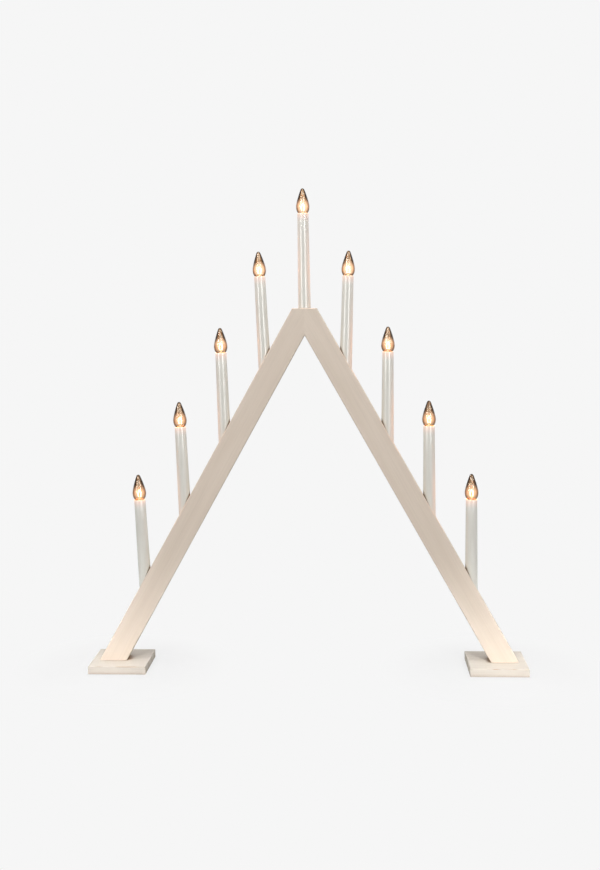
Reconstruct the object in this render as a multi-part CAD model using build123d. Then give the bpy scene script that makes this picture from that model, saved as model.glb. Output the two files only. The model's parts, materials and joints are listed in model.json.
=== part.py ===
from build123d import *
import math
import os

# An electric candle arch: two laths joined at the apex on two square feet, with nine candle
# tubes and flame-shaped screw-in bulbs. The face looks towards -Y, and the origin lies on the
# surface that it stands on, under its middle. Lengths are in millimetres, angles in degrees.

# The two laths
lath_width = 25.0
lath_depth = 18.0
lath_lean = 29.2
arch_rise = 369.5
apex_flat = 25.6
lath_edge = 0.9

# The square feet, their pads and their screws
plate_size = 60.0
plate_thickness = 8.0
plate_shift = 7.88
plate_edge = 0.6
pad_diameter = 12.0
pad_thickness = 1.0
pad_inset = 9.0
screw_length = 25.0
screw_diameter = 3.5
screw_head = 7.0
screw_spacing = 9.0
screw_hole_clearance = 0.1
recess_width = 0.9
recess_reach = 4.2
recess_depth = 1.4

# The dowels across the mitre
dowel_diameter = 4.0
dowel_length = 26.0
dowel_spacing = 11.2
dowel_drop = 14.0
dowel_clearance = 0.05

# The groove in the inner faces, its cover strips and the pocket by the left foot
groove_width = 7.0
groove_depth = 5.0
cover_width = 9.0
cover_thickness = 1.6
cover_clearance = 0.1
pocket_depth = 12.5
pocket_lead = 15.5
pocket_tail = 7.55
wire_hole = 6.0

# The candle tubes
candle_count = 9
candle_spacing = 43.0
tube_length = 110.0
tube_top = 11.8
tube_bottom = 13.35
tube_rim_round = 0.35
tube_clearance = 0.1
socket_bore = 10.4
wire_bore = 9.2
candle_leans = (-3.4, -2.7, -2.0, -2.7, -0.5, 2.0, 0.8, 0.3, 0.7)
sunk_shares = (0.515, 0.515, 0.494, 0.429, 0.193, 0.429, 0.494, 0.515, 0.515)

# The sockets inside the tubes
shell_diameter = 10.2
shell_wall = 0.25
shell_drop = 1.6
disc_thickness = 2.0
disc_drop = 15.6
disc_clearance = 0.1
tab_thickness = 0.3
tab_width = 1.6
tab_gap = 0.4
tab_inset = 3.6
tag_reach = 2.2
rivet_diameter = 1.0
spring_width = 1.2
spring_thickness = 0.3
spring_foot = 3.2
spring_gap = 0.1

# The screw thread that the cap and the shell share
thread_pitch = 1.814
thread_crest = 9.4
thread_core = 8.4
thread_gap = 0.15
thread_root_half = 0.55
thread_crest_half = 0.18
thread_bite = 0.1

# The bulbs
glass_height = 26.3
glass_radius = 7.05
glass_wall = 0.6
glass_neck = 4.2
glass_neck_radius = 3.95
mouth_gap = 0.3
cap_drop = 1.0
cap_length = 10.5
cap_wall = 0.25
insulator_length = 1.7
insulator_foot = 2.2
tip_length = 1.0
tip_radius = 1.6
tip_round = 0.4
stem_height = 3.0
stem_foot = 3.0
stem_top = 1.1
stem_flare = 1.2
lead_thickness = 0.5
lead_spread = 2.5
lead_top = 4.5
filament_thickness = 0.8
filament_rise = 8.0
filament_bend = 1.2
glass_height_shares = (0.04, 0.10, 0.18, 0.25, 0.33, 0.43, 0.55, 0.67, 0.78, 0.88, 0.95, 0.985)
glass_radius_shares = (0.82, 0.92, 0.985, 1.0, 0.975, 0.895, 0.775, 0.645, 0.50, 0.345, 0.215, 0.12)

# The wires, the splices and the cord's grommet
wire_diameter = 1.4
wire_lane = 1.6
wire_offset = 1.4
wire_bed = 3.3
wire_turn = 1.8
wire_bend = 6.0
wire_ease = 12.0
return_turn = 2.2
return_drop = 14.0
return_shift = 16.0
splice_diameter = 2.6
splice_bore = 1.5
splice_length = 10.0
splice_depth = 7.0
splice_run = 6.0
splice_insert = 4.0
grommet_hole = 7.0
grommet_bore = 5.2
grommet_flange = 10.0
grommet_flange_thickness = 1.5
grommet_depth = 8.0
grommet_back = 6.2
grommet_round = 0.5

overrun = 2.0

# Worked out from the values above
sine = math.sin(math.radians(lath_lean))
cosine = math.cos(math.radians(lath_lean))
plate_top = pad_thickness + plate_thickness
flat_height = plate_top + arch_rise
outer_apex = flat_height + apex_flat / 2 * cosine / sine
inner_apex = outer_apex - lath_width / sine
foot_outer = (outer_apex - plate_top) * sine / cosine
foot_width = lath_width / cosine
plate_middle = foot_outer - foot_width / 2 - plate_shift
tag_bottom = disc_drop + disc_thickness + spring_thickness


def lath_point(along, depth, side=1):
    """A point of a lath, going down its inner face from the apex and into the wood."""
    return (side * (along * sine + depth * cosine), inner_apex - along * cosine + depth * sine)


def mitre(depth):
    """How far along the inner face the mitre lies at a depth into the wood."""
    return -depth * cosine / sine


def upright_slab(points, thickness):
    """A slab across the arch whose outline is given in its face."""
    outline = Plane.XZ * Polygon(*points, align=None)
    return extrude(outline, amount=thickness / 2, both=True)


def lath_band(start, end, depth_from, depth_to, width):
    """A bar along the lath between two depths, or from the mitre where start is None."""
    upper = mitre(depth_from) if start is None else start
    lower = mitre(depth_to) if start is None else start
    points = [lath_point(upper, depth_from), lath_point(end, depth_from)]
    points += [lath_point(end, depth_to), lath_point(lower, depth_to)]
    return upright_slab(points, width)


def rod(radius, length, top=0.0):
    """An upright round bar that hangs down from a height."""
    return Pos(0, 0, top) * Cylinder(radius, length, align=(Align.CENTER, Align.CENTER, Align.MAX))


def ring(outer, inner, length, top=0.0):
    return rod(outer, length, top) - rod(inner, length, top)


def block(width, depth, height, x=0.0, y=0.0, z=0.0):
    """A block by its size, its middle in plan and its lowest level."""
    return Pos(x, y, z) * Box(width, depth, height, align=(Align.CENTER, Align.CENTER, Align.MIN))


def save(name, *solids):
    whole = []
    for solid in solids:
        whole += solid.solids()
    export_step(Compound(children=whole), f"parts/{name}.step")


# The candles: number 1 is the far left, the middle one stands on the apex flat
def side_of(number):
    return -1 if number <= candle_count // 2 else 1


def is_middle(number):
    return number == candle_count // 2 + 1


def candle_frame(number):
    """The place of a candle's rim, with its Z along the candle's own leaning axis."""
    station = (number - 1 - candle_count // 2) * candle_spacing
    surface = flat_height if is_middle(number) else outer_apex - abs(station) * cosine / sine
    lean = math.radians(candle_leans[number - 1])
    stand = tube_length - sunk_shares[number - 1] * lath_width / sine
    x = station + stand * math.sin(lean)
    return Location((x, 0, surface + stand * math.cos(lean)), (0, math.degrees(lean), 0))


def in_candle(number, x, y, z):
    """A point of the arch from a point in a candle's own frame."""
    return (candle_frame(number) * Pos(x, y, z)).position


# The wood
def lath_blank():
    """The right-hand lath, with its rounded edges, groove and rebate."""
    points = [(0, flat_height), (apex_flat / 2, flat_height), (foot_outer, plate_top)]
    points += [(foot_outer - foot_width, plate_top), (0, inner_apex)]
    wood = upright_slab(points, lath_depth)
    rims = [edge for edge in wood.edges() if abs(abs(edge.center().Y) - lath_depth / 2) < lath_edge]
    long_rims = [edge for edge in rims if abs(edge.center().X) > lath_edge]
    round_rims = [edge for edge in long_rims if edge.center().Z > plate_top + lath_edge]
    wood = fillet(round_rims, lath_edge)
    wood -= lath_band(None, groove_end(), -overrun, groove_depth, groove_width)
    rebate_width = cover_width + 2 * cover_clearance
    return wood - lath_band(None, groove_end() + cover_clearance, -overrun, cover_thickness, rebate_width)


def foot_screw_places():
    """The screws' places along X in the right foot, from the middle of the lath inwards."""
    middle = foot_outer - foot_width / 2
    return [middle, middle - screw_spacing]


def dowel_places():
    return [-dowel_spacing / 2, dowel_spacing / 2]


def dowel_bar(y, radius, length):
    return Pos(0, y, flat_height - dowel_drop) * Rot(0, 90, 0) * Cylinder(radius, length)


def candle_bore(number):
    """The candle's seat in the wood, and the wire hole from there down to the groove."""
    seat = rod(tube_bottom / 2 + tube_clearance, tube_length)
    hole = rod(wire_hole / 2, lath_width / sine + overrun, overrun - tube_length)
    return candle_frame(number) * (seat + hole)


def leg(side):
    wood = lath_blank()
    for x in foot_screw_places():
        pilot_height = plate_top + screw_length - plate_thickness + screw_hole_clearance
        wood -= Pos(x, 0, 0) * rod(screw_diameter / 2 + screw_hole_clearance, pilot_height, pilot_height)
    if side < 0:
        wood -= lath_band(splice_top() - pocket_lead, groove_end(), 0, pocket_depth, groove_width)
        wood = mirror(wood, Plane.YZ)
        wood -= grommet_place() * rod(grommet_hole / 2, lath_depth, overrun)
    for y in dowel_places():
        wood -= dowel_bar(y, dowel_diameter / 2 + dowel_clearance, dowel_length + 2 * dowel_clearance)
    for number in range(1, candle_count + 1):
        if side_of(number) == side or is_middle(number):
            wood -= candle_bore(number)
    return wood


def groove_cover(side):
    strip = lath_band(None, groove_end(), 0, cover_thickness, cover_width)
    return strip if side > 0 else mirror(strip, Plane.YZ)


# The feet
def countersink():
    """The room that a flat screw head takes, up from the plate's underside."""
    head_height = (screw_head - screw_diameter) / 2
    return Pos(0, 0, pad_thickness) * Cone(
        screw_head / 2, screw_diameter / 2, head_height, align=(Align.CENTER, Align.CENTER, Align.MIN))


def foot_plate(side):
    plate = block(plate_size, plate_size, plate_thickness, z=pad_thickness)
    plate = fillet(plate.edges().filter_by(Axis.Z, reverse=True).group_by(Axis.Z)[-1], plate_edge)
    plate = Pos(plate_middle, 0, 0) * plate
    for x in foot_screw_places():
        plate -= Pos(x, 0, 0) * rod(screw_diameter / 2 + screw_hole_clearance, plate_top, plate_top)
        plate -= Pos(x, 0, 0) * countersink()
    return plate if side > 0 else mirror(plate, Plane.YZ)


def foot_screw(x):
    screw = Pos(x, 0, 0) * rod(screw_diameter / 2, screw_length, pad_thickness + screw_length)
    screw += Pos(x, 0, 0) * countersink()
    screw -= block(recess_reach, recess_width, recess_depth, x=x, z=pad_thickness)
    return screw - block(recess_width, recess_reach, recess_depth, x=x, z=pad_thickness)


def foot_pads(side):
    reach = plate_size / 2 - pad_inset
    pads = []
    for x in (-reach, reach):
        for y in (-reach, reach):
            pads.append(Pos(side * plate_middle + x, y, 0) * rod(pad_diameter / 2, pad_thickness, pad_thickness))
    return pads


# The thread, as a ridge that winds up from a level
def thread_ridge(root_radius, crest_radius, level, turns):
    path = Pos(0, 0, level) * Helix(thread_pitch, thread_pitch * turns, root_radius)
    across = crest_radius - root_radius
    outline = Polygon(
        (0, -thread_root_half), (across, -thread_crest_half),
        (across, thread_crest_half), (0, thread_root_half), align=None)
    start = Plane(origin=path @ 0, x_dir=(1, 0, 0), z_dir=path % 0)
    return sweep(start * outline, path=path, is_frenet=True)


thread_turns = (cap_length - 2 * thread_pitch) / thread_pitch
thread_level = -(cap_drop + cap_length) + thread_pitch


# The sockets
def candle_tube():
    half_taper = (tube_bottom - tube_top) / 2
    tube = Pos(0, 0, -tube_length) * Cone(
        tube_top / 2 + half_taper, tube_top / 2, tube_length, align=(Align.CENTER, Align.CENTER, Align.MIN))
    tube = fillet(tube.edges().group_by(Axis.Z)[-1], tube_rim_round)
    tube -= rod(socket_bore / 2, overrun + disc_drop + disc_thickness, overrun)
    return tube - rod(wire_bore / 2, tube_length + overrun)


def tab_place():
    """The middle of the shell's tab in plan, beside the rivet and clear of it."""
    return (-tab_inset + tab_thickness / 2, rivet_diameter / 2 + tab_gap + tab_width / 2)


def screw_shell():
    """The threaded brass sleeve, with the tab that goes over the disc, through it and under it."""
    outer = shell_diameter / 2
    inner = outer - shell_wall
    shell = ring(outer, inner, disc_drop - shell_drop, -shell_drop)
    crest = thread_core / 2 + thread_gap
    shell += thread_ridge(inner + thread_bite, crest, thread_level - thread_pitch / 2, thread_turns)
    x, y = tab_place()
    over = inner - tab_inset + tab_thickness
    shell += block(over, tab_width, tab_thickness, x=x - tab_thickness / 2 - over / 2 + tab_thickness,
                   y=y, z=-disc_drop) & rod(outer, disc_drop)
    down = tag_bottom - disc_drop + tab_thickness
    shell += block(tab_thickness, tab_width, down, x=x, y=y, z=-tag_bottom)
    tag = tab_inset + tag_reach
    return shell + block(tag, tab_width, spring_thickness, x=tag_reach - tag / 2, y=y, z=-tag_bottom)


def socket_disc():
    disc = rod(socket_bore / 2 - disc_clearance, disc_thickness, -disc_drop)
    disc -= rod(rivet_diameter / 2, disc_thickness, -disc_drop)
    x, y = tab_place()
    slot_length = tab_thickness + 2 * disc_clearance
    slot_width = tab_width + 2 * disc_clearance
    return disc - block(slot_length, slot_width, disc_thickness, x=x, y=y, z=-disc_drop - disc_thickness)


def centre_contact():
    """A leaf spring under the bulb's tip, riveted through the disc to a solder tag."""
    top = spring_gap + cap_drop + cap_length + insulator_length + tip_length
    rise = disc_drop - top
    points = [(-spring_foot, -disc_drop), (-spring_foot, -disc_drop + spring_thickness)]
    points += [(-spring_foot / 2, -disc_drop + spring_thickness), (-tip_radius / 2, -disc_drop + rise)]
    points += [(tip_radius, -disc_drop + rise), (tip_radius, -disc_drop + rise - spring_thickness)]
    points += [(0, -disc_drop + rise - spring_thickness), (-tip_radius / 2, -disc_drop)]
    leaf = upright_slab(points, spring_width)
    rivet = rod(rivet_diameter / 2, disc_thickness + spring_thickness * 2, -disc_drop + spring_thickness)
    tag_y = -wire_lane + rivet_diameter / 2
    tag = block(2 * tag_reach, 2 * wire_lane, spring_thickness, y=tag_y, z=-tag_bottom)
    foot = block(spring_foot, spring_width, spring_thickness, x=-spring_foot / 2 + rivet_diameter / 2, z=-disc_drop)
    return leaf + foot + rivet + tag


# The bulbs
def glass_outline(inset):
    """Half of the flame shape from the tip to the neck, its wall moved in by an inset."""
    mouth = socket_bore / 2 - mouth_gap - inset
    neck = glass_neck_radius - inset
    points = [(mouth, 0)]
    for height_share, radius_share in zip(glass_height_shares, glass_radius_shares):
        points.append((radius_share * (glass_radius - inset), height_share * (glass_height - inset)))
    points.append((0, glass_height - inset))
    flame = Spline(*points)
    shoulder = Line((neck, -cap_drop), (mouth, 0))
    stem = Line((neck, -glass_neck), (neck, -cap_drop))
    closing = Polyline((0, glass_height - inset), (0, -glass_neck), (neck, -glass_neck))
    return Plane.XZ * make_face([flame, shoulder, stem, closing])


def bulb_glass():
    outer = revolve(glass_outline(0), Axis.Z)
    inner = revolve(glass_outline(glass_wall), Axis.Z)
    return outer - inner


def bulb_filament():
    """The glass stem with its two support wires and the hairpin filament between them."""
    flare_radius = glass_neck_radius - glass_wall
    foot = rod(flare_radius, stem_flare, -glass_neck + stem_flare)
    height = stem_height + glass_neck - stem_flare
    stem = Pos(0, 0, -glass_neck + stem_flare) * Cone(
        stem_foot, stem_top, height, align=(Align.CENTER, Align.CENTER, Align.MIN))
    left = (-lead_spread, 0, lead_top)
    right = (lead_spread, 0, lead_top)
    crown = (0, 0, lead_top + filament_rise)
    hairpin = FilletPolyline(left, crown, right, radius=filament_bend)
    hairpin_profile = Plane(origin=hairpin @ 0, z_dir=hairpin % 0) * Circle(filament_thickness / 2)
    whole = foot + stem + sweep(hairpin_profile, path=hairpin)
    for side in (-1, 1):
        support = Line((side * stem_top / 2, 0, stem_height - stem_flare), (side * lead_spread, 0, lead_top))
        support_profile = Plane(origin=support @ 0, z_dir=support % 0) * Circle(lead_thickness / 2)
        whole += sweep(support_profile, path=support)
        whole += Pos(side * lead_spread, 0, lead_top) * Sphere(filament_thickness / 2)
    return whole


def bulb_cap():
    core = thread_core / 2
    cap = ring(core, core - cap_wall, cap_length, -cap_drop)
    cap += ring(core, insulator_foot, cap_wall, -cap_drop - cap_length + cap_wall)
    return cap + thread_ridge(core - thread_bite, thread_crest / 2, thread_level, thread_turns)


def bulb_contact():
    """The insulating foot of the cap and the solder tip under it."""
    level = -cap_drop - cap_length
    foot = Pos(0, 0, level - insulator_length) * Cone(
        insulator_foot, thread_core / 2 - cap_wall, insulator_length,
        align=(Align.CENTER, Align.CENTER, Align.MIN))
    tip = rod(tip_radius, tip_length, level - insulator_length)
    return foot + fillet(tip.edges().group_by(Axis.Z)[0], tip_round)


# The wires: each lies in the groove, then goes up inside a tube to a solder tag
def groove_meeting(number, offset, side, depth):
    """Where the line along a candle meets the line along the groove at a depth into the wood."""
    start = in_candle(number, offset, 0, 0)
    down = in_candle(number, offset, 0, -tube_length) - start
    reach_wanted = inner_apex * sine + depth
    reach_now = side * cosine * start.X + sine * start.Z
    step = (reach_wanted - reach_now) / (side * cosine * down.X + sine * down.Z)
    return start + down * step


def with_lane(point, lane):
    return (point.X, lane, point.Z)


def tag_point(number, offset, lane):
    return in_candle(number, offset, lane, -tag_bottom)


def round_wire(points, radii):
    path = FilletPolyline(*points, radius=radii)
    profile = Plane(origin=path @ 0, z_dir=path % 0) * Circle(wire_diameter / 2)
    tube = sweep(profile, path=path)
    expected = math.pi * wire_diameter ** 2 / 4 * path.length
    print(f"wire {path.length:.1f} long, least radius {min(radii):.1f}, volume {tube.volume / expected:.4f}")
    return tube


def lane_of(number, side):
    """The link that goes down from a candle changes lanes from one candle to the next."""
    steps = abs(number - 1 - candle_count // 2)
    return side * wire_lane * (-1 if steps % 2 == 0 else 1)


def link_wire(number, side):
    """The wire from a candle down the groove to its lower neighbour."""
    below = number + side
    lane = lane_of(number, side)
    upper_offset = side * wire_offset if is_middle(number) else -side * wire_offset
    points = [tag_point(number, upper_offset, lane)]
    points.append(with_lane(groove_meeting(number, upper_offset, side, wire_bed), lane))
    points.append(with_lane(groove_meeting(below, side * wire_offset, side, wire_bed), lane))
    points.append(tag_point(below, side * wire_offset, lane))
    return round_wire(points, [wire_bend, wire_turn])


def groove_point(along, depth, lane, side):
    x, z = lath_point(along, depth, side)
    return (x, lane, z)


def splice_top():
    """How far along the groove the splices' upper ends lie, below the first candle's wires."""
    meeting = groove_meeting(1, -wire_offset, -1, wire_bed)
    along = abs(meeting.X) * sine + (inner_apex - meeting.Z) * cosine
    return along + splice_run


def groove_end():
    """How far along the lath both grooves end, a little below the splices."""
    return splice_top() + splice_length + pocket_tail


def lead_wire():
    """The wire from the first candle to its splice in the pocket."""
    lane = lane_of(1, -1)
    points = [tag_point(1, wire_offset, lane)]
    points.append(with_lane(groove_meeting(1, wire_offset, -1, splice_depth), lane))
    points.append(groove_point(splice_top() + splice_insert, splice_depth, lane, -1))
    return round_wire(points, [wire_bend])


def return_wire():
    """The wire from the last candle over the apex and down to the other splice."""
    last = candle_count
    lane = -lane_of(last - 1, 1)
    start_z = -tag_bottom - return_drop
    points = [tag_point(last, wire_offset, lane)]
    points.append(in_candle(last, wire_offset, lane, start_z))
    points.append(in_candle(last, wire_offset, 0, start_z - return_shift))
    points.append(groove_meeting(last, wire_offset, 1, wire_bed))
    points.append((0, 0, inner_apex + wire_bed / sine))
    points.append(groove_point(splice_top() + splice_insert, wire_bed, 0, -1))
    return round_wire(points, [wire_ease, wire_ease, wire_turn, return_turn])


def splice(lane, depth):
    """A crimped sleeve that joins a wire to a core of the cord."""
    x, z = lath_point(splice_top(), depth, -1)
    sleeve = ring(splice_diameter / 2, splice_bore / 2, splice_length)
    return Pos(x, lane, z) * Rot(0, lath_lean, 0) * sleeve


def grommet_place():
    """The hole for the cord, in the back of the left lath, with Z pointing out of it."""
    x, z = lath_point(groove_end() - grommet_back, grommet_depth, -1)
    return Pos(x, lath_depth / 2, z) * Rot(-90, 0, 0)


def cord_grommet():
    wall = (lath_depth - groove_width) / 2
    body = rod(grommet_hole / 2, wall)
    flange = rod(grommet_flange / 2, grommet_flange_thickness, grommet_flange_thickness)
    flange = fillet(flange.edges().group_by(Axis.Z)[-1], grommet_round)
    whole = body + flange - rod(grommet_bore / 2, lath_depth, overrun)
    return grommet_place() * whole


def build():
    os.makedirs("parts", exist_ok=True)
    numbers = range(1, candle_count + 1)
    sides = {"left": -1, "right": 1}
    for word, side in sides.items():
        save(f"{word}_leg", leg(side))
        save(f"{word}_foot", foot_plate(side))
    save("foot_pads", *foot_pads(-1), *foot_pads(1))
    screws = [foot_screw(side * x) for side in sides.values() for x in foot_screw_places()]
    save("foot_screws", *screws)
    save("apex_dowels", *[dowel_bar(y, dowel_diameter / 2, dowel_length) for y in dowel_places()])
    save("groove_covers", groove_cover(-1), groove_cover(1))
    save("cord_grommet", cord_grommet())

    shell, disc, spring, tube = screw_shell(), socket_disc(), centre_contact(), candle_tube()
    glass, filament, cap, contact = bulb_glass(), bulb_filament(), bulb_cap(), bulb_contact()
    save("screw_shells", *[candle_frame(number) * shell for number in numbers])
    save("socket_discs", *[candle_frame(number) * disc for number in numbers])
    save("centre_contacts", *[candle_frame(number) * spring for number in numbers])
    for number in numbers:
        place = candle_frame(number)
        save(f"candle_{number}", place * tube)
        save(f"bulb_{number}_glass", place * glass)
        save(f"bulb_{number}_filament", place * filament)
        save(f"bulb_{number}_cap", place * cap)
        save(f"bulb_{number}_contact", place * contact)

    middle = candle_count // 2 + 1
    links = [link_wire(number, -1) for number in range(2, middle + 1)]
    links += [link_wire(number, 1) for number in range(middle, candle_count)]
    save("link_wires", *links)
    save("feed_wires", lead_wire(), return_wire())
    save("wire_splices", splice(lane_of(1, -1), splice_depth), splice(0, wire_bed))


build()
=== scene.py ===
# %% [markdown]
# # A wooden candle arch with nine small bulbs
# Two glazed laths lean together at the apex and stand on square wooden feet. Nine slim plastic
# tubes stick up out of them, each with a flame-shaped glass bulb. The construction comes from a
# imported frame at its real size, in metres, so this script never moves it. It dresses the frame:
# it models the round glass, metal and plastic pieces more finely than a construction model
# does, and gives every surface its finish.

# %% Load the frame and measure it
import json
import math

import bpy
from mathutils import Matrix, Vector


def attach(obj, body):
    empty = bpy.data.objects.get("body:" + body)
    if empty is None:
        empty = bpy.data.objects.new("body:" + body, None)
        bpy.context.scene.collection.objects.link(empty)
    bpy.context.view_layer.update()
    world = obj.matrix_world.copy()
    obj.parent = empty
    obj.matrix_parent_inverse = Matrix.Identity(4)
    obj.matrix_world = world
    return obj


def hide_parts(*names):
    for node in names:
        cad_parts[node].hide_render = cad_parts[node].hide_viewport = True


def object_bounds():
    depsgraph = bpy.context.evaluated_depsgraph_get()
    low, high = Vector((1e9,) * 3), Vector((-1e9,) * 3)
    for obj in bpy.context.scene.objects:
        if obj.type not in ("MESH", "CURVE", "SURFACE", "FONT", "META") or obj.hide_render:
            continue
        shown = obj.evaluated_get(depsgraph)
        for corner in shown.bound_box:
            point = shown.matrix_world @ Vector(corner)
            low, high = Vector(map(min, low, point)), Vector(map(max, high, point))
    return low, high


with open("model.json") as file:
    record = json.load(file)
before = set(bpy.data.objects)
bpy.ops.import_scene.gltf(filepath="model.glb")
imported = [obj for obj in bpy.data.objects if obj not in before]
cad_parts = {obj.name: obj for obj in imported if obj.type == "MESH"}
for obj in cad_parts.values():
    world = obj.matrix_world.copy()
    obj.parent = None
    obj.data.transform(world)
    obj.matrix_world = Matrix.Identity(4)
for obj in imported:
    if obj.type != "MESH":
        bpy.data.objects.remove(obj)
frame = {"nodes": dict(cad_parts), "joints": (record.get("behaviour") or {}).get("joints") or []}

cad_low, cad_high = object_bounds()
MM = 0.001
print("frame box in mm:", [round(v / MM, 1) for v in cad_high - cad_low])

# %% [markdown]
# ## The camera
# The photograph was taken from nearly straight ahead and then cropped. The tops of the feet show
# a horizon well above the middle of the arch, so the camera looks level and shifts its film
# instead of tilting. It is turned slightly to the left, which makes the right foot look larger
# and nearer, and held half a degree askew, which makes the arch lean to the left.

# %% Camera at the photograph's viewing angle
IMAGE_WIDTH, IMAGE_HEIGHT = 600, 870
SIGHT_PIXEL = (295, 304)            # where the level line of sight meets the picture
FOCAL_PIXELS = 1130
TURN_DEGREES, ASKEW_DEGREES = 2.84, 0.53
SENSOR = 36.0
CAMERA_PLACE = (49 * MM, -1190 * MM, 383 * MM)
camera_data = bpy.data.cameras.new("camera")
camera = bpy.data.objects.new("camera", camera_data)
bpy.context.scene.collection.objects.link(camera)
bpy.context.scene.camera = camera
camera.location = CAMERA_PLACE
camera.rotation_euler = (math.radians(90), math.radians(ASKEW_DEGREES), math.radians(TURN_DEGREES))
camera_data.sensor_width = SENSOR
camera_data.lens = FOCAL_PIXELS / IMAGE_HEIGHT * SENSOR
camera_data.shift_x = (IMAGE_WIDTH / 2 - SIGHT_PIXEL[0]) / IMAGE_HEIGHT
camera_data.shift_y = (SIGHT_PIXEL[1] - IMAGE_HEIGHT / 2) / IMAGE_HEIGHT
print("lens in mm:", round(camera_data.lens, 2))

# %% [markdown]
# ## Two helpers for materials
# Colours are written as they look on a screen, as sRGB hex values, and one function turns them
# to the linear values that a renderer adds and multiplies. A second one adds a shader node.

# %% Colour and node helpers
def colour(hex_value, alpha=1.0):
    """An sRGB hex value such as 'E0D6C8' as a linear colour."""
    channels = [int(hex_value[i:i + 2], 16) / 255 for i in (0, 2, 4)]
    linear = [c / 12.92 if c <= 0.04045 else ((c + 0.055) / 1.055) ** 2.4 for c in channels]
    return (*linear, alpha)


def add_node(tree, kind, inputs=None, stops=None, **settings):
    """Adds a node, with its settings, its input values or links, and a ramp's stops."""
    node = tree.nodes.new(kind)
    for name, value in settings.items():
        setattr(node, name, value)
    for key, value in (inputs or {}).items():
        if isinstance(value, bpy.types.NodeSocket):
            tree.links.new(value, node.inputs[key])
        else:
            node.inputs[key].default_value = value
    if stops:
        elements = node.color_ramp.elements
        while len(elements) < len(stops):
            elements.new(0.5)
        for element, (position, value) in zip(elements, stops):
            element.position = position
            element.color = value
    return node


def new_material(name):
    """An empty material and its node tree, with the output node."""
    material = bpy.data.materials.new(name)
    material.use_nodes = True
    material.node_tree.nodes.clear()
    output = material.node_tree.nodes.new("ShaderNodeOutputMaterial")
    return material, material.node_tree, output


def grey(value):
    return (value, value, value, 1.0)


def dress(node_name, material):
    """Gives a construction piece its finish."""
    piece = frame["nodes"][node_name]
    piece.data.materials.clear()
    piece.data.materials.append(material)


print("white paper is", [round(c, 3) for c in colour("F6F6F6")[:3]])

# %% [markdown]
# ## Glazed wood
# The laths and feet are planed softwood under a thin cream-white glaze. The glaze hides the
# colour of the wood but not its grain: from near you see fine streaks along the lath, from far
# only a slight mottling. The pattern is noise that is stretched along the grain, so it also
# gives small dots where the end of a board is cut across, and those ends keep the saw's marks.

# %% Glazed wood material
MIX_FACTOR, MIX_A, MIX_B, MIX_RESULT = 0, 6, 7, 2    # the colour sockets of a Mix node
GRAIN_SPACING = 1.1 * MM            # between streaks; real softwood here is about 0.8 mm
GRAIN_LENGTH = 60 * MM
MOTTLE_WIDTH = 14 * MM
MOTTLE_LENGTH = 120 * MM
SAW_MARK_SPACING = 1.3 * MM
WAVE_BANDS = 20                     # a Wave texture at scale 1 has a band every twentieth of a unit
GLAZE_GRIT = 0.35 * MM
GRAIN_RELIEF = 0.12 * MM
JOINT_SHADE = 6 * MM                # how near the lath the painted shade on a foot begins
FOOT_HALF, FOOT_TOP = 30 * MM, 9 * MM
WORN_WIDTH = 0.7 * MM               # of the edge where the glaze is thin
WORN_PATCH = 14 * MM


def foot_shade_and_wear(tree, place, paint):
    """Paints brown shade round the lath's foot into the colour, and adds the thin glaze on the long top
    edges.
    """
    # Painted shade: an occlusion test darkens the colour towards brown where the lath hems the foot in.
    open_air = add_node(tree, "ShaderNodeAmbientOcclusion", {"Distance": JOINT_SHADE}, samples=8)
    joint = add_node(tree, "ShaderNodeValToRGB", {"Fac": open_air.outputs["AO"]},
                     stops=[(0.3, colour("B4946F")), (0.85, grey(1.0))])
    shaded = add_node(tree, "ShaderNodeMix", {
        MIX_FACTOR: 1.0, MIX_A: paint, MIX_B: joint.outputs["Color"]},
        data_type="RGBA", blend_type="MULTIPLY")
    parts = add_node(tree, "ShaderNodeSeparateXYZ", {"Vector": place.outputs["Object"]})
    reach = add_node(tree, "ShaderNodeMath", {0: parts.outputs["Y"]}, operation="ABSOLUTE")
    at_side = add_node(tree, "ShaderNodeMath", {
        0: reach.outputs["Value"], 1: FOOT_HALF - WORN_WIDTH}, operation="GREATER_THAN")
    at_top = add_node(tree, "ShaderNodeMath", {
        0: parts.outputs["Z"], 1: FOOT_TOP - WORN_WIDTH}, operation="GREATER_THAN")
    at_edge = add_node(tree, "ShaderNodeMath", {
        0: at_side.outputs["Value"], 1: at_top.outputs["Value"]}, operation="MULTIPLY")
    patches = add_node(tree, "ShaderNodeTexNoise", {
        "Vector": place.outputs["Object"], "Scale": 1 / WORN_PATCH, "Detail": 2.0})
    thin = add_node(tree, "ShaderNodeMapRange", {
        "Value": patches.outputs["Fac"], "From Min": 0.42, "From Max": 0.60,
        "To Min": 0.0, "To Max": 0.8})
    worn = add_node(tree, "ShaderNodeMath", {
        0: at_edge.outputs["Value"], 1: thin.outputs["Result"]}, operation="MULTIPLY")
    return add_node(tree, "ShaderNodeMix", {
        MIX_FACTOR: worn.outputs["Value"], MIX_A: shaded.outputs[MIX_RESULT],
        MIX_B: colour("A98F74")}, data_type="RGBA")


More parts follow.
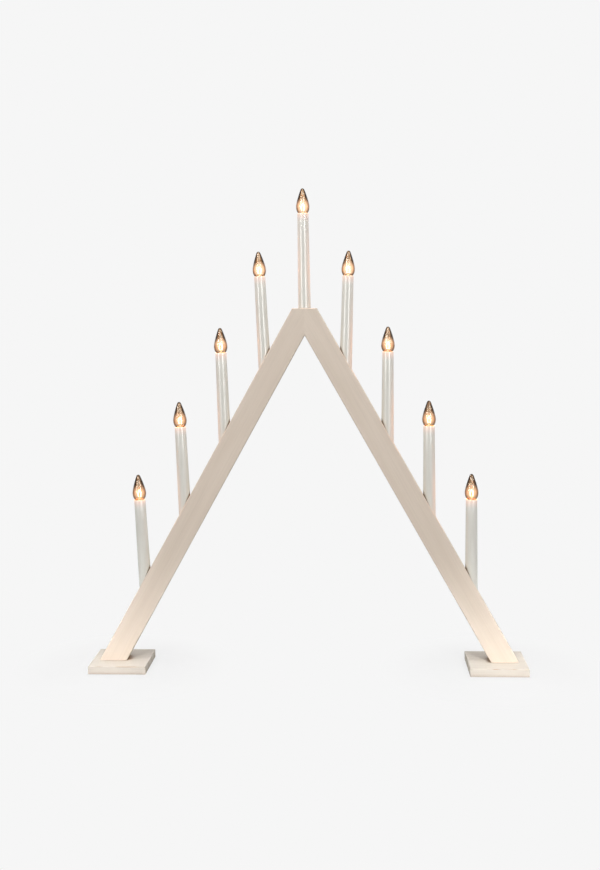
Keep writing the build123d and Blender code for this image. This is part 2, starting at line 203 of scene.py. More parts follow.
def glazed_wood(name, lean_degrees, light, dark, is_foot=False):
    """Wood with its grain turned away from X by an angle in the arch's plane."""
    material, tree, output = new_material(name)
    turn = (0, math.radians(lean_degrees), 0)
    place = add_node(tree, "ShaderNodeTexCoord")
    along_grain = add_node(tree, "ShaderNodeMapping", {
        "Vector": place.outputs["Object"], "Rotation": turn})
    streak_scale = add_node(tree, "ShaderNodeMapping", {
        "Vector": along_grain.outputs["Vector"],
        "Scale": (1 / GRAIN_LENGTH, 1 / GRAIN_SPACING, 1 / GRAIN_SPACING)})
    streaks = add_node(tree, "ShaderNodeTexNoise", {
        "Vector": streak_scale.outputs["Vector"], "Scale": 1.0, "Detail": 5.0, "Roughness": 0.6})
    mottle_scale = add_node(tree, "ShaderNodeMapping", {
        "Vector": along_grain.outputs["Vector"],
        "Scale": (1 / MOTTLE_LENGTH, 1 / MOTTLE_WIDTH, 1 / MOTTLE_WIDTH)})
    mottle = add_node(tree, "ShaderNodeTexNoise", {
        "Vector": mottle_scale.outputs["Vector"], "Scale": 1.0, "Detail": 3.0, "Roughness": 0.5})
    glaze = add_node(tree, "ShaderNodeValToRGB", {"Fac": mottle.outputs["Fac"]},
                     stops=[(0.3, colour(dark)), (0.7, colour(light))])
    thin_glaze = add_node(tree, "ShaderNodeValToRGB", {"Fac": streaks.outputs["Fac"]},
                          stops=[(0.36, grey(0.80)), (0.52, grey(1.0))])
    streaked = add_node(tree, "ShaderNodeMix", {
        MIX_FACTOR: 0.22, MIX_A: glaze.outputs["Color"], MIX_B: thin_glaze.outputs["Color"]},
        data_type="RGBA", blend_type="MULTIPLY")
    face = add_node(tree, "ShaderNodeMapping", {
        "Vector": place.outputs["Normal"], "Rotation": turn}, vector_type="NORMAL")
    face_parts = add_node(tree, "ShaderNodeSeparateXYZ", {"Vector": face.outputs["Vector"]})
    end_facing = add_node(tree, "ShaderNodeMath", {
        0: face_parts.outputs["X"]}, operation="ABSOLUTE")
    cut_end = add_node(tree, "ShaderNodeMath", {
        0: end_facing.outputs["Value"], 1: 0.9}, operation="GREATER_THAN")
    saw = add_node(tree, "ShaderNodeTexWave", {
        "Vector": place.outputs["Object"], "Scale": 1 / (SAW_MARK_SPACING * WAVE_BANDS),
        "Distortion": 1.5, "Detail": 2.0, "Detail Scale": 2.0}, bands_direction="DIAGONAL")
    saw_marks = add_node(tree, "ShaderNodeMath", {
        0: saw.outputs["Fac"], 1: cut_end.outputs["Value"]}, operation="MULTIPLY")
    sawn = add_node(tree, "ShaderNodeMix", {
        MIX_FACTOR: saw_marks.outputs["Value"], MIX_A: streaked.outputs[MIX_RESULT],
        MIX_B: colour("EDE6DC")}, data_type="RGBA", blend_type="MULTIPLY")
    # The feet also get painted shade round the lath, and their worn edges.
    paint = foot_shade_and_wear(tree, place, sawn.outputs[MIX_RESULT]) if is_foot else sawn
    grit = add_node(tree, "ShaderNodeTexNoise", {
        "Vector": place.outputs["Object"], "Scale": 1 / GLAZE_GRIT, "Detail": 2.0})
    relief = add_node(tree, "ShaderNodeMath", {
        0: streaks.outputs["Fac"], 1: grit.outputs["Fac"]}, operation="ADD")
    cut_relief = add_node(tree, "ShaderNodeMath", {
        0: relief.outputs["Value"], 1: saw_marks.outputs["Value"]}, operation="SUBTRACT")
    bump = add_node(tree, "ShaderNodeBump", {
        "Height": cut_relief.outputs["Value"], "Strength": 0.35, "Distance": GRAIN_RELIEF})
    shine = add_node(tree, "ShaderNodeMapRange", {
        "Value": streaks.outputs["Fac"], "From Min": 0.3, "From Max": 0.7,
        "To Min": 0.62, "To Max": 0.46})
    surface = add_node(tree, "ShaderNodeBsdfPrincipled", {
        "Base Color": paint.outputs[MIX_RESULT], "Roughness": shine.outputs["Result"],
        "Normal": bump.outputs["Normal"], "IOR": 1.48})
    tree.links.new(surface.outputs["BSDF"], output.inputs["Surface"])
    return material


LATH_LEAN = 29.2
left_wood = glazed_wood("glazed_spruce_left_lath", 90 - LATH_LEAN, "E1D2C2", "D9C9B8")
right_wood = glazed_wood("glazed_spruce_right_lath", LATH_LEAN - 90, "E1D2C2", "D9C9B8")
# The feet wear a darker, greyer copy of the laths' glaze, a painted shade that offsets the stronger
# light of the foot spots on them.
foot_wood = glazed_wood("glazed_spruce_foot", 0, "C7BFB4", "BEB5AA", is_foot=True)
dress("left_leg", left_wood)
dress("right_leg", right_wood)
dress("groove_covers", foot_wood)
dress("left_foot", foot_wood)
dress("right_foot", foot_wood)
print("grain spacing drawn, in mm:", round(GRAIN_SPACING / MM, 2))

# %% [markdown]
# ## Small fittings
# Most of the fittings are hidden: brass sleeves and springs, a brown laminate disc in each tube,
# soft wires, crimped splices, beech dowels and zinc-plated screws. They only show from below or
# when a bulb is turned out, so one function gives each a base colour, a fine grain of its own
# kind and a roughness. The numbers are typical for the real material.

# %% Materials of the small fittings
def plain_finish(name, light, dark, spacing, roughness, metallic=0.0, relief=0.02 * MM):
    """A finish with a fine grain between two colours."""
    material, tree, output = new_material(name)
    place = add_node(tree, "ShaderNodeTexCoord")
    grain = add_node(tree, "ShaderNodeTexNoise", {
        "Vector": place.outputs["Object"], "Scale": 1 / spacing, "Detail": 4.0})
    tint = add_node(tree, "ShaderNodeValToRGB", {"Fac": grain.outputs["Fac"]},
                    stops=[(0.35, colour(dark)), (0.65, colour(light))])
    bump = add_node(tree, "ShaderNodeBump", {
        "Height": grain.outputs["Fac"], "Strength": 0.5, "Distance": relief})
    spread = add_node(tree, "ShaderNodeMapRange", {
        "Value": grain.outputs["Fac"], "From Min": 0.3, "From Max": 0.7,
        "To Min": roughness * 0.85, "To Max": roughness * 1.15})
    surface = add_node(tree, "ShaderNodeBsdfPrincipled", {
        "Base Color": tint.outputs["Color"], "Roughness": spread.outputs["Result"],
        "Normal": bump.outputs["Normal"], "Metallic": metallic})
    tree.links.new(surface.outputs["BSDF"], output.inputs["Surface"])
    return material


brass = plain_finish("brass_stamped", "D9BE82", "C2A262", 0.8 * MM, 0.28, metallic=1.0)
laminate = plain_finish("phenolic_laminate_pressed", "6E4530", "5A3624", 0.6 * MM, 0.5)
beech = plain_finish("beech_turned", "C9A67C", "B8926A", 0.7 * MM, 0.55)
zinc = plain_finish("steel_zinc_plated", "C4C4C0", "B0B2B4", 0.5 * MM, 0.32, metallic=1.0)
felt = plain_finish("felt_pressed", "4A4642", "2E2B29", 0.25 * MM, 0.95, relief=0.15 * MM)
sheath = plain_finish("wire_sheath_extruded", "E6E2D8", "DAD5CA", 0.5 * MM, 0.45)
tinned = plain_finish("copper_tinned_crimped", "CFCFCB", "B9BAB8", 0.4 * MM, 0.3, metallic=1.0)
rubber = plain_finish("rubber_moulded", "2A2A2A", "1E1E1E", 0.6 * MM, 0.7)
insulator = plain_finish("black_glass_pressed", "17171A", "0E0E10", 1.0 * MM, 0.18)
for node_name, finish in {
        "screw_shells": brass, "centre_contacts": brass, "socket_discs": laminate,
        "apex_dowels": beech, "foot_screws": zinc, "foot_pads": felt, "link_wires": sheath,
        "feed_wires": sheath, "wire_splices": tinned, "cord_grommet": rubber}.items():
    dress(node_name, finish)
print("finishes so far:", len(bpy.data.materials))

# %% [markdown]
# ## Where the candles stand
# Each candle has a lean of its own, as the real ones do. The bulb's screw joint gives both what
# a piece needs: the middle of the tube's rim and the direction of the axis. Every round piece is
# modelled once, upright, with the rim at the origin, and its copies are then set in their places.

# %% Candle places and helpers for turned pieces
CANDLES = range(1, 10)
joints = {joint["name"]: joint for joint in frame["joints"]}


def candle_place(number):
    """The matrix from a candle's own upright frame to its place in the arch."""
    joint = joints[f"bulb_{number}_turn"]
    lean = math.atan2(joint["axis"][0], joint["axis"][2])
    return Matrix.Translation(Vector(joint["pos_m"])) @ Matrix.Rotation(lean, 4, "Y")


def deselect():
    """Operators act on all that is selected, so nothing stays selected by accident."""
    bpy.ops.object.select_all(action="DESELECT")


def turned(name, profile, segments=48):
    """A round piece: a circle is extruded and widened or narrowed ring by ring, as on a lathe."""
    deselect()
    radius, height = profile[0]
    bpy.ops.mesh.primitive_circle_add(vertices=segments, radius=radius, location=(0, 0, height))
    piece = bpy.context.object
    piece.name = name
    bpy.ops.object.transform_apply(location=True, rotation=True, scale=True)
    bpy.ops.object.mode_set(mode="EDIT")
    for next_radius, next_height in profile[1:]:
        bpy.ops.mesh.extrude_region_move(
            TRANSFORM_OT_translate={"value": (0, 0, next_height - height)})
        if next_radius == 0:
            bpy.ops.mesh.merge(type="CENTER")
            break
        if next_radius != radius:
            factor = next_radius / radius
            bpy.ops.transform.resize(value=(factor, factor, 1), center_override=(0, 0, next_height))
        radius, height = next_radius, next_height
    bpy.ops.mesh.select_all(action="SELECT")
    bpy.ops.mesh.normals_make_consistent(inside=False)
    bpy.ops.object.mode_set(mode="OBJECT")
    return piece


def close_ends(piece):
    """Fills the open rings of a turned piece and points its faces outwards."""
    deselect()
    piece.select_set(True)
    bpy.context.view_layer.objects.active = piece
    bpy.ops.object.mode_set(mode="EDIT")
    bpy.ops.mesh.select_all(action="DESELECT")
    bpy.ops.mesh.select_non_manifold()
    bpy.ops.mesh.edge_face_add()
    bpy.ops.mesh.select_all(action="SELECT")
    bpy.ops.mesh.normals_make_consistent(inside=False)
    bpy.ops.object.mode_set(mode="OBJECT")


def smooth(piece, degrees=35):
    deselect()
    piece.select_set(True)
    bpy.context.view_layer.objects.active = piece
    bpy.ops.object.shade_smooth_by_angle(angle=math.radians(degrees))


def apply_modifier(piece, kind, **settings):
    """Adds a modifier and applies it."""
    deselect()
    piece.select_set(True)
    bpy.context.view_layer.objects.active = piece
    modifier = piece.modifiers.new(kind.lower(), kind)
    for name, value in settings.items():
        setattr(modifier, name, value)
    bpy.ops.object.modifier_apply(modifier=modifier.name)


def mark_height(piece):
    """Keeps each point's height over the rim, for finishes that change along the candle."""
    heights = piece.data.attributes.new("over_rim", "FLOAT", "POINT")
    for vertex in piece.data.vertices:
        heights.data[vertex.index].value = vertex.co.z


def set_in_candles(master, name, body, replaced, material, hidden_from=("shadow",)):
    """Copies a piece to every candle, each copy with its own mesh, and removes the first one."""
    master.data.materials.clear()
    master.data.materials.append(material)
    for number in CANDLES:
        copy = master.copy()
        copy.data = master.data.copy()
        copy.name = name.format(number)
        copy.data.name = copy.name
        copy.data.transform(candle_place(number))
        bpy.context.scene.collection.objects.link(copy)
        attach(copy, body.format(number))
        if replaced:
            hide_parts(replaced.format(number))
        for kind_of_ray in hidden_from:
            setattr(copy, "visible_" + kind_of_ray, False)
    bpy.data.objects.remove(master)
    print(name, "set in", len(CANDLES), "places")


print("rim of the middle candle, in mm:", [round(c / MM, 1) for c in candle_place(5).translation])

# %% [markdown]
# ## The candle tubes
# A tube is moulded in white plastic, a little thinner at the top so that it leaves its mould.
# Its wall is thin at the mouth, where the bulb's socket sits, and the lip is rounded. It is
# turned here ring by ring, because it needs an even surface for the long streaks of light.
# The bulb's light in the plastic is painted as a glow in the first few millimetres under the rim, and
# shade is painted where the tube goes into the lath.

# %% Tube sizes, measured on the frame
def own_size(node_name, number):
    """Lowest and highest point and widest radius of a node, in its candle's own frame."""
    back = candle_place(number).inverted()
    points = [back @ vertex.co for vertex in frame["nodes"][node_name].data.vertices]
    return (min(p.z for p in points), max(p.z for p in points),
            max(math.hypot(p.x, p.y) for p in points))


tube_low, tube_high, TUBE_FOOT_RADIUS = own_size("candle_5", 5)
TUBE_LENGTH = tube_high - tube_low
TUBE_TOP_RADIUS = 5.9 * MM
LIP_ROUND = 0.35 * MM
SOCKET_RADIUS = 5.2 * MM
SOCKET_DEPTH = 17.6 * MM
WIRE_RADIUS = 4.6 * MM
MOUTH_BEVEL = 0.15 * MM
MERGE_DISTANCE = 0.01 * MM
print("tube length in mm:", round(TUBE_LENGTH / MM, 1))

# %% Tube material
WARM_REACH = 11 * MM                # how far the painted glow of the bulb's light reaches down under the rim
PEEL_SPACING = 2.2 * MM
PEEL_STRETCH = 12
PEEL_RELIEF = 0.05 * MM
CREVICE = 3.5 * MM                  # how near the lath the painted shade on a tube begins


def candle_plastic():
    """Satin polypropylene, with a painted glow under the rim and painted shade by the lath."""
    material, tree, output = new_material("polypropylene_satin_moulded")
    place = add_node(tree, "ShaderNodeTexCoord")
    height = add_node(tree, "ShaderNodeAttribute", attribute_name="over_rim")
    flow = add_node(tree, "ShaderNodeMapping", {
        "Vector": place.outputs["Object"],
        "Scale": (1 / PEEL_SPACING, 1 / PEEL_SPACING, 1 / (PEEL_SPACING * PEEL_STRETCH))})
    peel = add_node(tree, "ShaderNodeTexNoise", {
        "Vector": flow.outputs["Vector"], "Scale": 1.0, "Detail": 3.0})
    tint = add_node(tree, "ShaderNodeValToRGB", {"Fac": peel.outputs["Fac"]},
                    stops=[(0.3, colour("DDDBD2")), (0.7, colour("E4E2DA"))])
    # Painted shade: near the lath the colour darkens towards brown, deepest in the narrow wedge on the
    # uphill side.
    open_air = add_node(tree, "ShaderNodeAmbientOcclusion", {"Distance": CREVICE}, samples=8)
    painted_crevice_shade = add_node(tree, "ShaderNodeValToRGB", {"Fac": open_air.outputs["AO"]},
                       stops=[(0.30, colour("8A7358")), (0.62, grey(1.0))])
    shaded = add_node(tree, "ShaderNodeMix", {
        MIX_FACTOR: 1.0, MIX_A: tint.outputs["Color"], MIX_B: painted_crevice_shade.outputs["Color"]},
        data_type="RGBA", blend_type="MULTIPLY")
    bump = add_node(tree, "ShaderNodeBump", {
        "Height": peel.outputs["Fac"], "Strength": 0.02, "Distance": PEEL_RELIEF})
    # Painted glow: orange emission under the rim stands for the bulb's light inside the plastic.
    lit = add_node(tree, "ShaderNodeMapRange", {
        "Value": height.outputs["Fac"], "From Min": -WARM_REACH, "From Max": 0.0,
        "To Min": 0.0, "To Max": 1.0})
    glow = add_node(tree, "ShaderNodeMath", {0: lit.outputs["Result"], 1: 2.0}, operation="POWER")
    painted_glow_colour = add_node(tree, "ShaderNodeValToRGB", {"Fac": lit.outputs["Result"]}, stops=[
        (0.45, colour("FF5A2C")), (0.85, colour("FF9C5C")), (1.0, colour("FFC480"))])
    strength = add_node(tree, "ShaderNodeMath", {0: glow.outputs["Value"], 1: 0.36},
                        operation="MULTIPLY")
    surface = add_node(tree, "ShaderNodeBsdfPrincipled", {
        "Base Color": shaded.outputs[MIX_RESULT], "Roughness": 0.22, "IOR": 1.49,
        "Normal": bump.outputs["Normal"], "Emission Color": painted_glow_colour.outputs["Color"],
        "Emission Strength": strength.outputs["Value"]})
    tree.links.new(surface.outputs["BSDF"], output.inputs["Surface"])
    material.cycles.emission_sampling = "NONE"
    return material


tube_plastic = candle_plastic()
print("glow reaches, in mm:", round(WARM_REACH / MM, 1))

# %% Turn the tubes
def tube_radius(z):
    """The outer radius at a height under the rim."""
    return TUBE_TOP_RADIUS + (TUBE_FOOT_RADIUS - TUBE_TOP_RADIUS) * -z / TUBE_LENGTH


outside = [(tube_radius(-TUBE_LENGTH * share), -TUBE_LENGTH * share)
           for share in (1, 0.8, 0.6, 0.4, 0.2)]
lip = [(TUBE_TOP_RADIUS - LIP_ROUND * (1 - math.cos(a)), LIP_ROUND * (math.sin(a) - 1))
       for a in (0, math.pi / 6, math.pi / 3, math.pi / 2)]
mouth = [(SOCKET_RADIUS + MOUTH_BEVEL, 0.0), (SOCKET_RADIUS, -MOUTH_BEVEL)]
inside = [(SOCKET_RADIUS, -SOCKET_DEPTH), (WIRE_RADIUS, -SOCKET_DEPTH), (WIRE_RADIUS, -TUBE_LENGTH)]
tube = turned("tube", [(WIRE_RADIUS, -TUBE_LENGTH)] + outside + lip + mouth + inside, segments=64)
deselect()
tube.select_set(True)
bpy.context.view_layer.objects.active = tube
bpy.ops.object.mode_set(mode="EDIT")
bpy.ops.mesh.select_all(action="SELECT")
bpy.ops.mesh.remove_doubles(threshold=MERGE_DISTANCE)
bpy.ops.mesh.normals_make_consistent(inside=False)
bpy.ops.object.mode_set(mode="OBJECT")
smooth(tube)
mark_height(tube)
set_in_candles(tube, "tube_{}", "arch", "candle_{}", tube_plastic,
               hidden_from=())

# %% [markdown]
# ## The glass of the bulbs
# The bulb is blown clear glass in the shape of a flame, drawn out to a tip. Seen against a pale
# wall, clear glass is bright in the middle and dark at its edge, where you look along the wall;
# here that is painted shade, in the glass's colour and in its reflections. The outline is turned
# and then given its wall by Solidify. A slight amber tint and a faint painted glow, for the light
# that the glass passes on, and painted streaks of reflection along the tip finish it.

# %% Flame-shaped glass
flame_low, flame_high, FLAME_RADIUS = own_size("bulb_5_glass", 5)
GLASS_WALL = 0.6 * MM
NECK_RADIUS = 3.95 * MM
SHOULDER_DROP = 1.0 * MM
MOUTH_RADIUS = 4.9 * MM
HEIGHT_SHARES = (0.04, 0.10, 0.18, 0.25, 0.33, 0.43, 0.55, 0.67, 0.78, 0.88, 0.94, 0.975, 0.993)
RADIUS_SHARES = (0.82, 0.93, 1.0, 1.02, 1.0, 0.92, 0.80, 0.665, 0.52, 0.385, 0.30, 0.225, 0.13)
belly = [(share * FLAME_RADIUS, height * flame_high)
         for height, share in zip(HEIGHT_SHARES, RADIUS_SHARES)]
neck = [(NECK_RADIUS, flame_low), (NECK_RADIUS, -2 * SHOULDER_DROP), (NECK_RADIUS, -SHOULDER_DROP),
        (MOUTH_RADIUS, 0.0)]
flame = turned("flame", neck + belly + [(0, flame_high)], segments=32)
apply_modifier(flame, "SOLIDIFY", thickness=GLASS_WALL, offset=-1, use_even_offset=True,
               use_quality_normals=True)
apply_modifier(flame, "SUBSURF", levels=1, render_levels=1)
smooth(flame, 60)
mark_height(flame)
print("flame height and width in mm:", round(flame_high / MM, 1), round(2 * FLAME_RADIUS / MM, 1))

# %% Glass material
GLOW_CENTRE = 7.5 * MM
GLOW_REACH = 9.5 * MM
RIPPLE_SPACING = 2.4 * MM           # the glass is wavy where it was drawn out to a tip
RIPPLE_RELIEF = 0.6 * MM
TIP_STREAK_WIDTH = 1.3 * MM              # of the painted streaks of reflection along the tip
TIP_STREAK_LENGTH = 16 * MM
TIP_START, TIP_FULL = 9 * MM, 17 * MM


def bulb_glass():
    """Clear soda-lime glass, with a painted warm glow from inside and painted shade at its edge."""
    material, tree, output = new_material("soda_lime_glass_blown")
    height = add_node(tree, "ShaderNodeAttribute", attribute_name="over_rim")
    edge = add_node(tree, "ShaderNodeLayerWeight", {"Blend": 0.5})
    # Painted shade: the colour runs from near white where the glass faces the viewer to near black at
    # its edge.
    belly_colour_and_edge_shade = add_node(tree, "ShaderNodeValToRGB", {"Fac": edge.outputs["Facing"]}, stops=[
        (0.0, colour("F4EBDF")), (0.2, colour("E9D9C6")),
        (0.45, colour("B8977A")), (0.62, colour("583E2E"))])
    tip_colour_and_edge_shade = add_node(tree, "ShaderNodeValToRGB", {"Fac": edge.outputs["Facing"]}, stops=[
        (0.0, colour("FFF6EA")), (0.17, colour("F2DCC4")),
        (0.30, colour("6A4E3A")), (0.46, colour("1C130D"))])
    place = add_node(tree, "ShaderNodeTexCoord")
    # Painted reflection: darker streaks along the tip, multiplied into the glass's colour.
    tip_streak_scale = add_node(tree, "ShaderNodeMapping", {
        "Vector": place.outputs["Object"],
        "Scale": (1 / TIP_STREAK_WIDTH, 1 / TIP_STREAK_WIDTH, 1 / TIP_STREAK_LENGTH)})
    tip_streaks = add_node(tree, "ShaderNodeTexNoise", {
        "Vector": tip_streak_scale.outputs["Vector"], "Scale": 1.0, "Detail": 2.0})
    painted_tip_streaks = add_node(tree, "ShaderNodeValToRGB", {"Fac": tip_streaks.outputs["Fac"]},
                         stops=[(0.40, colour("C4AA90")), (0.52, grey(1.0))])
    streaked_tip = add_node(tree, "ShaderNodeMix", {
        MIX_FACTOR: 1.0, MIX_A: tip_colour_and_edge_shade.outputs["Color"], MIX_B: painted_tip_streaks.outputs["Color"]},
        data_type="RGBA", blend_type="MULTIPLY")
    towards_tip = add_node(tree, "ShaderNodeMapRange", {
        "Value": height.outputs["Fac"], "From Min": TIP_START, "From Max": TIP_FULL,
        "To Min": 0.0, "To Max": 1.0}, interpolation_type="SMOOTHSTEP")
    # This colour carries the painted edge shade and streaks, and also tints the reflections, which
    # paints them darker at the edge.
    tint = add_node(tree, "ShaderNodeMix", {
        MIX_FACTOR: towards_tip.outputs["Result"], MIX_A: belly_colour_and_edge_shade.outputs["Color"],
        MIX_B: streaked_tip.outputs[MIX_RESULT]}, data_type="RGBA")
    # Painted glow: emission in the glass, strongest at the glow's centre height and where the glass
    # faces the viewer.
    away = add_node(tree, "ShaderNodeMath", {0: height.outputs["Fac"], 1: GLOW_CENTRE},
                    operation="SUBTRACT")
    distance = add_node(tree, "ShaderNodeMath", {0: away.outputs["Value"]}, operation="ABSOLUTE")
    near = add_node(tree, "ShaderNodeMapRange", {
        "Value": distance.outputs["Value"], "From Min": GLOW_REACH, "From Max": 0.0,
        "To Min": 0.0, "To Max": 1.0}, interpolation_type="SMOOTHSTEP")
    front = add_node(tree, "ShaderNodeMath", {
        0: 1.0, 1: edge.outputs["Facing"]}, operation="SUBTRACT")
    centred = add_node(tree, "ShaderNodeMath", {
        0: front.outputs["Value"], 1: 2.2}, operation="POWER")
    glow = add_node(tree, "ShaderNodeMath", {
        0: near.outputs["Result"], 1: centred.outputs["Value"]}, operation="MULTIPLY")
    strength = add_node(tree, "ShaderNodeMath", {0: glow.outputs["Value"], 1: 0.24},
                        operation="MULTIPLY")
    ripples = add_node(tree, "ShaderNodeTexNoise", {
        "Vector": place.outputs["Object"], "Scale": 1 / RIPPLE_SPACING, "Detail": 1.0,
        "Distortion": 1.5})
    drawn_out = add_node(tree, "ShaderNodeMath", {
        0: ripples.outputs["Fac"], 1: towards_tip.outputs["Result"]}, operation="MULTIPLY")
    bump = add_node(tree, "ShaderNodeBump", {
        "Height": drawn_out.outputs["Value"], "Strength": 0.5, "Distance": RIPPLE_RELIEF})
    surface = add_node(tree, "ShaderNodeBsdfPrincipled", {
        "Base Color": tint.outputs[MIX_RESULT], "Roughness": 0.03, "IOR": 1.5,
        "Normal": bump.outputs["Normal"],
        "Transmission Weight": 1.0, "Specular Tint": tint.outputs[MIX_RESULT],
        "Emission Color": colour("FFB880"),
        "Emission Strength": strength.outputs["Value"]})
    tree.links.new(surface.outputs["BSDF"], output.inputs["Surface"])
    material.cycles.emission_sampling = "NONE"
    return material


print("ripples on the glass, in mm:", round(RIPPLE_SPACING / MM, 1))
set_in_candles(flame, "bulb_{}_flame", "bulb_{}", "bulb_{}_glass", bulb_glass(),
               hidden_from=("shadow", "diffuse"))

# %% [markdown]
# ## The filament and its mount
# Inside the glass a stem carries two nickel wires, and between them hangs a hairpin of coiled
# tungsten. It is the brightest thing in the photograph. The coil is one ring of wire that the
# Screw modifier winds up, once for each leg, and each leg is then bowed out to its side so that
# the two meet at the top. Its glow is a few times brighter than paper white, so it burns out to
# white. More than that would only upset the denoiser round it.

# %% Stem, support wires and coil
STEM_SHOULDER = -3.0 * MM
STEM_TOP = 1.6 * MM
STEM_RADIUS = 3.2 * MM
COIL_FOOT = 2.8 * MM
COIL_TOP = 10.4 * MM
COIL_SPREAD = 1.5 * MM
BOW_START = 0.2                     # the share of a half sine at which each leg begins
COIL_RADIUS = 0.42 * MM
COIL_WIRE = 0.17 * MM
COIL_TURNS = 15
SUPPORT_RADIUS = 0.22 * MM
PIN_RADIUS = 0.12 * MM


def stem_piece():
    """The flared glass stem that closes the neck, with a pinched top."""
    profile = [(STEM_RADIUS, flame_low + 0.2 * MM), (STEM_RADIUS, STEM_SHOULDER),
               (1.7 * MM, -1.6 * MM), (1.25 * MM, 0.0), (1.1 * MM, STEM_TOP * 0.7), (0.7 * MM, STEM_TOP)]
    stem = turned("stem", profile + [(0, STEM_TOP + 0.3 * MM)], segments=24)
    close_ends(stem)
    apply_modifier(stem, "SUBSURF", levels=1, render_levels=1)
    smooth(stem, 50)
    return stem


def slim_rod(name, foot, head, radius):
    """A round wire between two points in the candle's own frame."""
    deselect()
    direction = head - foot
    lean = math.atan2(direction.x, direction.z)
    bpy.ops.mesh.primitive_cylinder_add(
        vertices=10, radius=radius, depth=direction.length, location=(foot + head) / 2,
        rotation=(0, lean, 0))
    rod = bpy.context.object
    rod.name = name
    bpy.ops.object.transform_apply(location=True, rotation=True, scale=True)
    smooth(rod)
    return rod


def joined(name, pieces):
    deselect()
    for piece in pieces:
        piece.select_set(True)
    bpy.context.view_layer.objects.active = pieces[0]
    bpy.ops.object.join()
    pieces[0].name = name
    return pieces[0]


def coil_leg(side):
    """Half of the hairpin: a coil that the Screw modifier winds, then bowed out to its side."""
    deselect()
    bpy.ops.mesh.primitive_circle_add(
        vertices=6, radius=COIL_WIRE, location=(COIL_RADIUS, 0, 0),
        rotation=(math.radians(90), 0, 0))
    coil = bpy.context.object
    bpy.ops.object.transform_apply(location=True, rotation=True, scale=True)
    rise = COIL_TOP - COIL_FOOT
    apply_modifier(coil, "SCREW", axis="Z", angle=math.radians(360), screw_offset=rise / COIL_TURNS,
                   iterations=COIL_TURNS, steps=12, render_steps=12, use_merge_vertices=False)
    for vertex in coil.data.vertices:
        bow = math.sin(math.pi * (BOW_START + (1 - BOW_START) * vertex.co.z / rise))
        vertex.co.x += side * COIL_SPREAD * bow
        vertex.co.z += COIL_FOOT
    close_ends(coil)
    smooth(coil, 80)
    return coil


supports = []
for side in (-1, 1):
    foot = Vector((side * 0.6 * MM, 0, STEM_TOP * 0.5))
    elbow = Vector((side * COIL_SPREAD * math.sin(math.pi * BOW_START), 0, COIL_FOOT))
    supports.append(slim_rod("support", foot, elbow, SUPPORT_RADIUS))
pin_top = Vector((0, 0, COIL_TOP - COIL_RADIUS))
pin = slim_rod("pin", Vector((0, 0, STEM_TOP)), pin_top, PIN_RADIUS)
mount = joined("mount", supports + [pin])
hairpin = joined("hairpin", [coil_leg(-1), coil_leg(1)])
stem = stem_piece()
print("coil turns:", 2 * COIL_TURNS, "faces:", len(hairpin.data.polygons))

# %% Filament materials
def glowing_tungsten():
    material, tree, output = new_material("tungsten_coil_hot")
    surface = add_node(tree, "ShaderNodeBsdfPrincipled", {
        "Base Color": colour("FFF0D8"), "Roughness": 0.5, "Emission Color": colour("FFDDA8"),
        "Emission Strength": 5.0})
    tree.links.new(surface.outputs["BSDF"], output.inputs["Surface"])
    material.cycles.emission_sampling = "NONE"      # the small lamp in each bulb gives this light
    return material


nickel = plain_finish("nickel_drawn", "B9AE9C", "A3988A", 0.4 * MM, 0.35, metallic=1.0)
stem_glass = plain_finish("lead_glass_pressed", "F2E6D2", "E8D8C0", 0.7 * MM, 0.12)
set_in_candles(hairpin, "bulb_{}_coil", "bulb_{}", "bulb_{}_filament", glowing_tungsten(),
               hidden_from=("shadow", "diffuse", "glossy"))
set_in_candles(mount, "bulb_{}_supports", "bulb_{}", None, nickel)
set_in_candles(stem, "bulb_{}_stem", "bulb_{}", None, stem_glass)

# %% [markdown]
# ## The screw caps
# The caps and their contacts come straight from the frame, thread and all. They only show when a
# bulb is turned out: rolled brass with a nickel sheen, and a black glass foot with a solder tip.

# %% Caps and contacts
cap_brass = plain_finish("brass_rolled_thread", "D8C69A", "C4AC76", 0.6 * MM, 0.25, metallic=1.0)
for number in CANDLES:
    dress(f"bulb_{number}_cap", cap_brass)
    dress(f"bulb_{number}_contact", insulator)
print("caps dressed:", len(CANDLES))

# %% [markdown]
# ## Light
# The arch stands in plain, soft light from the front, with a little more of it low down by the
# feet. Panels on the left and right draw the long streaks on the middle tubes, a weak one under
# each lets the streaks fade out, and two more, high up, glint in the tips of the glass. All six
# are only seen as shine. A small warm lamp in each bulb lights the side of the next tube. The
# glass and what hangs in it cast no shadow, or they would hold that light back. The coil itself
# lights nothing: light from so small and bright a thing arrives as white specks. The lamps are
# weak enough that a colour renders about as it is written.

# %% World and lamps
world = bpy.data.worlds.new("studio")
bpy.context.scene.world = world
world.use_nodes = True
sky = world.node_tree
sky.nodes.clear()
rays = add_node(sky, "ShaderNodeLightPath")
seen = add_node(sky, "ShaderNodeMath", {
    0: rays.outputs["Is Camera Ray"], 1: rays.outputs["Is Glossy Ray"]}, operation="MAXIMUM")
seen_through = add_node(sky, "ShaderNodeMath", {
    0: seen.outputs["Value"], 1: rays.outputs["Is Transmission Ray"]}, operation="MAXIMUM")
direction = add_node(sky, "ShaderNodeTexCoord")
towards = add_node(sky, "ShaderNodeSeparateXYZ", {"Vector": direction.outputs["Generated"]})
sideways = add_node(sky, "ShaderNodeMath", {0: towards.outputs["X"]}, operation="ABSOLUTE")
from_side = add_node(sky, "ShaderNodeMapRange", {
    "Value": sideways.outputs["Value"], "To Min": 0.48, "To Max": 0.37})
from_above = add_node(sky, "ShaderNodeMapRange", {
    "Value": towards.outputs["Z"], "From Min": 0.0, "From Max": 1.0, "To Min": 0.0, "To Max": 0.62})
